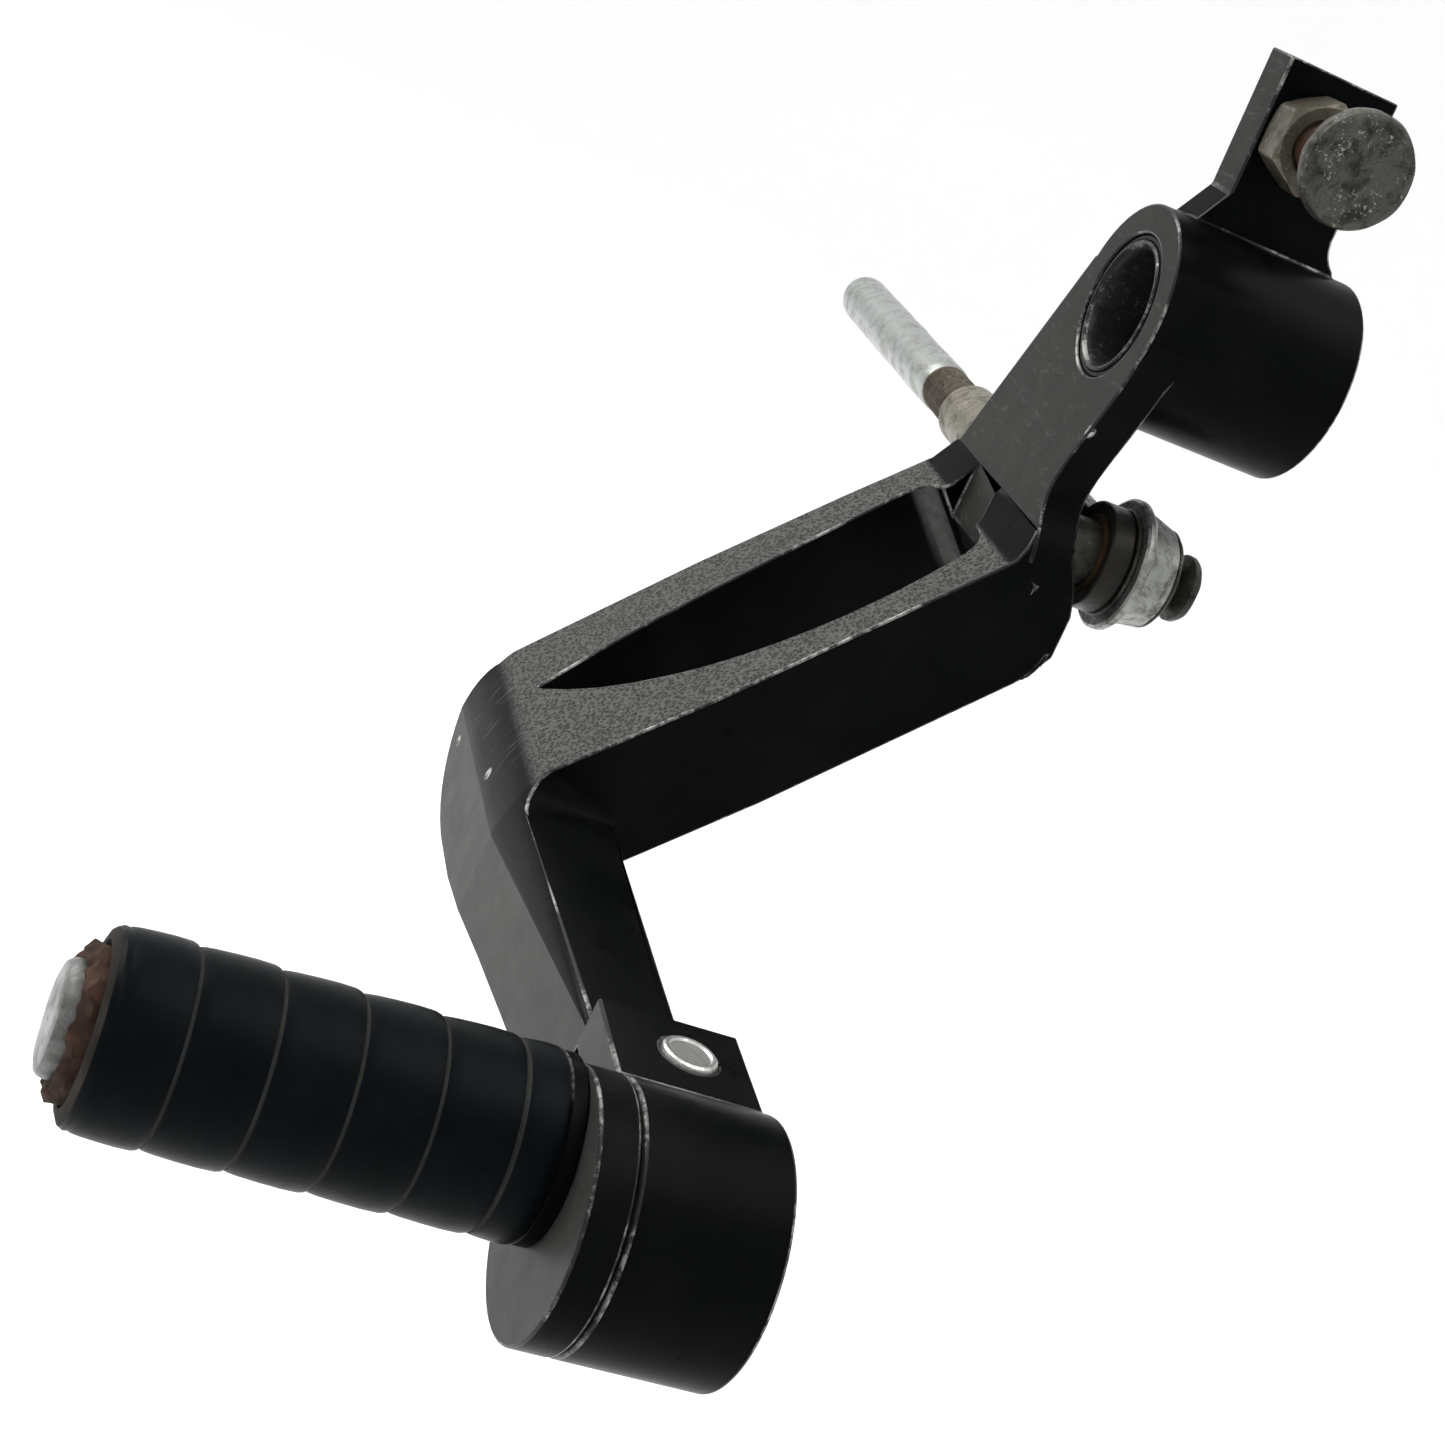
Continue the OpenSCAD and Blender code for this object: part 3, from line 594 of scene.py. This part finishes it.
def make_link():
    """Stud stack behind the neck, and the rod with its thread."""
    stud = centre("link_stud")
    axis = (0, 1, 0)

    def at(y):
        return Vector((stud.x, y, stud.z))
    # flanged nut
    base = low("link_stud_nut").y
    tall = high("link_stud_nut").y - base
    rim = high("link_stud_nut").x - stud.x
    rows = hex_rows(13, 4.0, tall, 192)[:6]
    side = rows.pop()
    rows += [[(x, y, 1.7) for x, y, z in side]]
    rows += [ring(r, h, 192) for r, h in ((rim - 0.35, 1.25), (rim - 0.08, 0.95), (rim, 0.65),
                                          (rim - 0.05, 0.25),
                                          (rim - 0.4, 0), (4.5, 0), (4.0, 0.5), (4.0, tall / 2))]
    mesh = skin("link_nut_mesh", rows, to_axis(at(base), axis))
    rough_up(mesh, 2.5, 0.10, 5.0)
    add_piece("link_stud_nut_flanged", mesh, [FLANGE], "lever", "zinc", "link_stud_nut")
    # collar
    base = low("link_stud_locknut").y
    tall = high("link_stud_locknut").y - base
    wide = high("link_stud_locknut").x - stud.x
    profile = [(4.0, 0.4), (4.3, 0), (wide - 0.3, 0), (wide, 0.25), (wide, 0.5), (wide - 0.25, 0.75),
               (5.0, tall - 0.3),
               (4.7, tall - 0.1), (4.3, tall), (4.0, tall - 0.3), (4.0, 0.4)]
    mesh = turned("link_collar_mesh", profile, at(base), axis)
    rough_up(mesh, 1.6, 0.08, 2.0)
    add_piece("link_stud_collar", mesh, [OLIVE], "lever", "stud_steel", "link_stud_locknut")
    # stud, with its groove and mushroom head
    base = low("link_stud").y
    tall = high("link_stud").y - base
    head = high("link_stud").x - stud.x
    neck = tall - 3.6
    profile = [(0, 0), (2.4, 0), (2.85, 0.6), (2.85, 2.9), (3.95, 3.0), (3.95, neck - 0.3), (3.5, neck),
               (2.65, neck + 0.4),
               (2.5, neck + 0.7), (2.6, neck + 1.1), (3.3, neck + 1.5), (head - 0.35, neck + 1.9),
               (head, neck + 2.3),
               (head - 0.02, tall - 0.7), (head - 0.3, tall - 0.28), (head - 0.9, tall - 0.05), (1.5, tall),
               (0, tall)]
    mesh = turned("link_stud_mesh", profile, at(base), axis)
    rough_up(mesh, 1.8, 0.08, 7.0)
    add_piece("link_stud_turned", mesh, [OLIVE], "lever", "stud_steel", "link_stud")
    # washer
    base = low("link_stud_washer").y
    tall = high("link_stud_washer").y - base
    wide = high("link_stud_washer").x - stud.x
    profile = [(4.0, 0.2), (4.2, 0), (wide - 0.25, 0), (wide, 0.25), (wide, tall - 0.25), (wide - 0.25, tall),
               (4.2, tall),
               (4.0, tall - 0.2), (4.0, 0.2)]
    mesh = turned("link_washer_mesh", profile, at(base), axis)
    add_piece("link_stud_washer_turned", mesh, [OLIVE], "lever", "stud_steel", "link_stud_washer")
    # rod
    rod = centre("link_rod")
    start, tip = high("link_rod").x, low("link_rod").x
    radius = high("link_rod").z - rod.z
    mouth = start - low("link_eye").x
    shoulder = mouth + 12
    length = start - tip
    place = to_axis(Vector((start, rod.y, rod.z)), (-1, 0, 0))
    rows = [ring(0, 0), ring(2.8, 0.02), ring(3.15, 0.4), ring(3.15, mouth - 0.6)]
    rows += thread_rows(radius - 0.2, 0.5, mouth - 0.5, shoulder, 1.25, 96)
    rows += [ring(radius, shoulder + 0.35 + (length - 5 - shoulder) * i / 24) for i in range(25)]
    rows += [ring(radius * math.cos(math.radians(a)), length - 4.5 + 4.5 * math.sin(math.radians(a)))
             for a in range(6, 91, 7)]
    mesh = skin("link_rod_mesh", rows, place)
    rough_up(mesh, 7.0, 0.12, 4.0)
    piece = add_piece("link_rod_threaded", mesh, [ZINC, THREAD], "link", "zinc", "link_rod")
    by_height(piece.data, place, (-1, 1), (shoulder, 0))
    machined("link_eye_body", "link_eye", 0.3, "link", "link_shank", [SHANK, SHANK])


def make_fold_pin():
    """Riveted pin: a dull centre inside a bright chamfered rim."""
    mid = centre("fold_pin")
    bottom = low("fold_pin").z
    tall = high("fold_pin").z - bottom
    end = [(3.0, tall - 0.5), (2.85, tall - 0.16), (2.6, tall), (2.3, tall - 0.02), (2.1, tall - 0.22),
           (1.2, tall - 0.26),
           (0, tall - 0.26)]
    profile = [(0, 0.05), (2.5, 0), (3.0, 0.5), *end]
    place = to_axis(Vector((mid.x, mid.y, bottom)), (0, 0, 1))
    mesh = skin("fold_pin_mesh", [ring(r, z) for r, z in profile], place)
    piece = add_piece("fold_pin_riveted", mesh, [PIN, RING], "knuckle", "core_steel", "fold_pin")
    back = place.inverted()
    for face in piece.data.polygons:
        spot = back @ face.center
        if spot.z > tall - 0.55 and math.hypot(spot.x, spot.y) > 1.9:
            face.material_index = 1


def make_peg():
    """Rubber sleeve of shallow rings, torn at its outer end, on a steel core with a rusty ring."""
    mid = centre("peg_core")
    disc = low("eccentric_disc").y
    out = (0, -1, 0)
    # core
    spigot = high("peg_core").y - disc
    length = disc - low("peg_core").y - 0.7
    collar = disc - high("peg_rubber").y
    wide = high("peg_core").x - mid.x
    core = 5.3
    profile = [(0, -spigot), (2.6, -spigot), (2.95, -spigot + 0.4), (2.95, 0), (wide - 0.3, 0), (wide, 0.3),
               (wide, collar - 0.2), (wide - 0.2, collar), (core, collar), (core, length - 3.4),
               (core, length - 1.1),
               (core - 0.12, length - 0.6), (core - 0.45, length - 0.22), (core - 1.0, length - 0.06),
               (core - 2.2, length), (1.2, length), (0, length)]
    place = to_axis(Vector((mid.x, disc, mid.z)), out)
    mesh = skin("peg_core_mesh", [ring(r, z) for r, z in profile], place)
    rough_up(mesh, 3.0, 0.07, 9.0)
    piece = add_piece("peg_core_turned", mesh, [BARE, BLACK], "peg", "core_steel", "peg_core")
    by_height(piece.data, place, (-10, 1), (collar + 1, 0))
    # sleeve
    top, bottom = high("peg_rubber").y, low("peg_rubber").y
    length = top - bottom
    big = high("peg_rubber").x - mid.x
    pitch = length / 5.55
    starts = [0] + [(i - 0.45) * pitch for i in range(1, 7)]
    heights = [(a, b) for a, b in zip(starts, starts[1:])]
    heights[-1] = (heights[-1][0], length - 1.3)
    rows = [ring(core + 0.02, 0), ring(big - 1.0, 0)]
    grooves = []
    for number, (a, b) in enumerate(heights):
        size = big - 0.10 + 0.02 * number
        span = b - a
        grooves.append(a)
        for share, drop in ((0.0, 0.42), (0.03, 0.16), (0.09, 0.04), (0.3, 0.0), (0.55, 0.05), (0.8, 0.14),
                            (0.93, 0.24),
                            (0.975, 0.36)):
            rows.append(ring(size - drop, a + span * share, 128))
    heel = [(big - 0.30, length - 1.0), (big - 0.55, length - 0.55), (big - 1.0, length - 0.2),
            (big - 1.5, length - 0.05),
            (big - 1.9, length - 0.15), (big - 2.1, length - 0.6), (big - 2.2, length - 1.6),
            (core + 0.02, length - 1.7)]

    def torn(depth, height):
        def r(a):
            return depth + 0.5 * noise.noise(Vector((math.cos(a) * 2.2, math.sin(a) * 2.2, height)))
        return r
    for size, height in heel:
        wander = size if size > big - 0.9 or size < core + 0.1 else torn(size, height)
        rows.append(ring(wander, height, 128))
    rows = [row if len(row) == 128 else ring(math.hypot(*row[0][:2]), row[0][2], 128) for row in rows]
    rows.append(ring(core + 0.02, 0, 128))
    place = to_axis(Vector((mid.x, top, mid.z)), out)
    mesh = skin("peg_sleeve_mesh", rows, place)
    piece = add_piece("peg_rubber_sleeve", mesh, [RUBBER, GROOVE, TORN], "peg", "peg_rubber", "peg_rubber")
    back = place.inverted()
    for face in piece.data.polygons:
        spot = back @ face.center
        if any(-0.25 < spot.z - g < 0.14 for g in grooves[1:]):
            face.material_index = 1
        if spot.z > length - 0.5:
            face.material_index = 2
    # rusty ring: ragged flakes round the core
    start = top - high("peg_end_washer").y - 1.5
    rows = []
    for size, height, wild in ((core + 0.02, 0.0, 0), (big - 2.3, 0.0, 0), (big - 2.3, 1.2, 0.3),
                               (big - 2.2, 2.2, 0.9),
                               (big - 2.9, 3.0, 1.0), (core + 0.9, 3.0, 0.7), (core + 0.02, 2.8, 0),
                               (core + 0.02, 0.0, 0)):
        rows.append([
            (x * (1 + 0.10 * wild * noise.noise(Vector((x * 0.55, y * 0.55, height)))),
             y * (1 + 0.10 * wild * noise.noise(Vector((x * 0.55, y * 0.55, height)))),
             z + 0.75 * wild * noise.noise(Vector((x * 0.8, y * 0.8, 5.0 + height))))
            for x, y, z in ring(size, height, 128)])
    mesh = skin("peg_rust_mesh", rows, to_axis(Vector((mid.x, top - start, mid.z)), out))
    rough_up(mesh, 0.9, 0.12, 6.0)
    add_piece("peg_end_rust", mesh, [RUST], "peg", "rusty_washer", "peg_end_washer")


def paint(node, material):
    """Gives a shown CAD node its material."""
    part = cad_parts[node]
    part.data.materials.clear()
    part.data.materials.append(material)


make_arm()
make_bushes()
make_stop_bolt()
make_link()
make_fold_pin()
make_peg()
for node_name, look in (
    ("link_eye_bush", BRONZE), ("fold_spring", SPRING), ("adjuster_screw", OXIDE), ("adjuster_washer", OXIDE),
):
    paint(node_name, look)


# ---- camera, stage and light ----

def make_camera():
    data = bpy.data.cameras.new("camera")
    camera = bpy.data.objects.new("camera", data)
    bpy.context.scene.collection.objects.link(camera)
    right = Vector((0.1835, 0.8959, 0.4046))
    back = Vector((0.8917, -0.3249, 0.3150)).normalized()
    up = back.cross(right).normalized()
    right = up.cross(back)
    turn = Matrix((right, up, back)).transposed().to_4x4()
    camera.matrix_world = Matrix.Translation(Vector((270.2, -120.6, 31.2)) * MM) @ turn
    data.sensor_width = 36
    data.lens = 62.3
    data.clip_start, data.clip_end = 0.01, 50
    bpy.context.scene.camera = camera


def make_stage():
    """A round white floor that curves up into a wall on every side."""
    floor = cad_box[0].z / MM - 140
    flat, bend, wall = 1600, 900, 2600
    profile = [(0, 0), (flat * 0.5, 0), (flat, 0)]
    for i in range(1, 13):
        a = math.pi / 2 * i / 12
        profile.append((flat + bend * math.sin(a), bend * (1 - math.cos(a))))
    profile.append((flat + bend, wall))
    mesh = turned("stage_mesh", profile, Vector((0, 0, floor)), (0, 0, 1), 64)
    bm = bmesh.new()
    bm.from_mesh(mesh)
    bmesh.ops.reverse_faces(bm, faces=bm.faces)
    bm.to_mesh(mesh)
    bm.free()
    stage = bpy.data.objects.new("stage", mesh)
    bpy.context.scene.collection.objects.link(stage)
    paper = Shader("paper")
    paper.set(Base_Color=paper.mix(paper.noise(400, 2), (0.92, 0.92, 0.918), (0.94, 0.94, 0.938)))
    paper.surface.inputs["Roughness"].default_value = 0.9
    mesh.materials.append(paper.material)


def make_light(name, place, target, size, power, tint=(1, 1, 1)):
    data = bpy.data.lights.new(name, "AREA")
    data.shape = "RECTANGLE"
    data.size, data.size_y = size[0] * MM, size[1] * MM
    data.energy = power
    data.color = tint
    light = bpy.data.objects.new(name, data)
    bpy.context.scene.collection.objects.link(light)
    aim = Vector(target) - Vector(place)
    light.matrix_world = Matrix.Translation(Vector(place) * MM) @ aim.to_track_quat("-Z",
                                                                                    "Y").to_matrix().to_4x4()


def make_world():
    world = bpy.data.worlds.new("sky")
    bpy.context.scene.world = world
    world.use_nodes = True
    world.node_tree.nodes["Background"].inputs["Color"].default_value = (0.985, 0.99, 1.0, 1)
    world.node_tree.nodes["Background"].inputs["Strength"].default_value = 1.2


make_camera()
make_stage()
make_light("soft_left", (-350, -500, 450), (0, -20, -30), (500, 500), 5)
make_light("soft_top", (100, 200, 700), (0, 0, -30), (600, 600), 3)
make_world()
bpy.context.scene.view_settings.view_transform = "Standard"
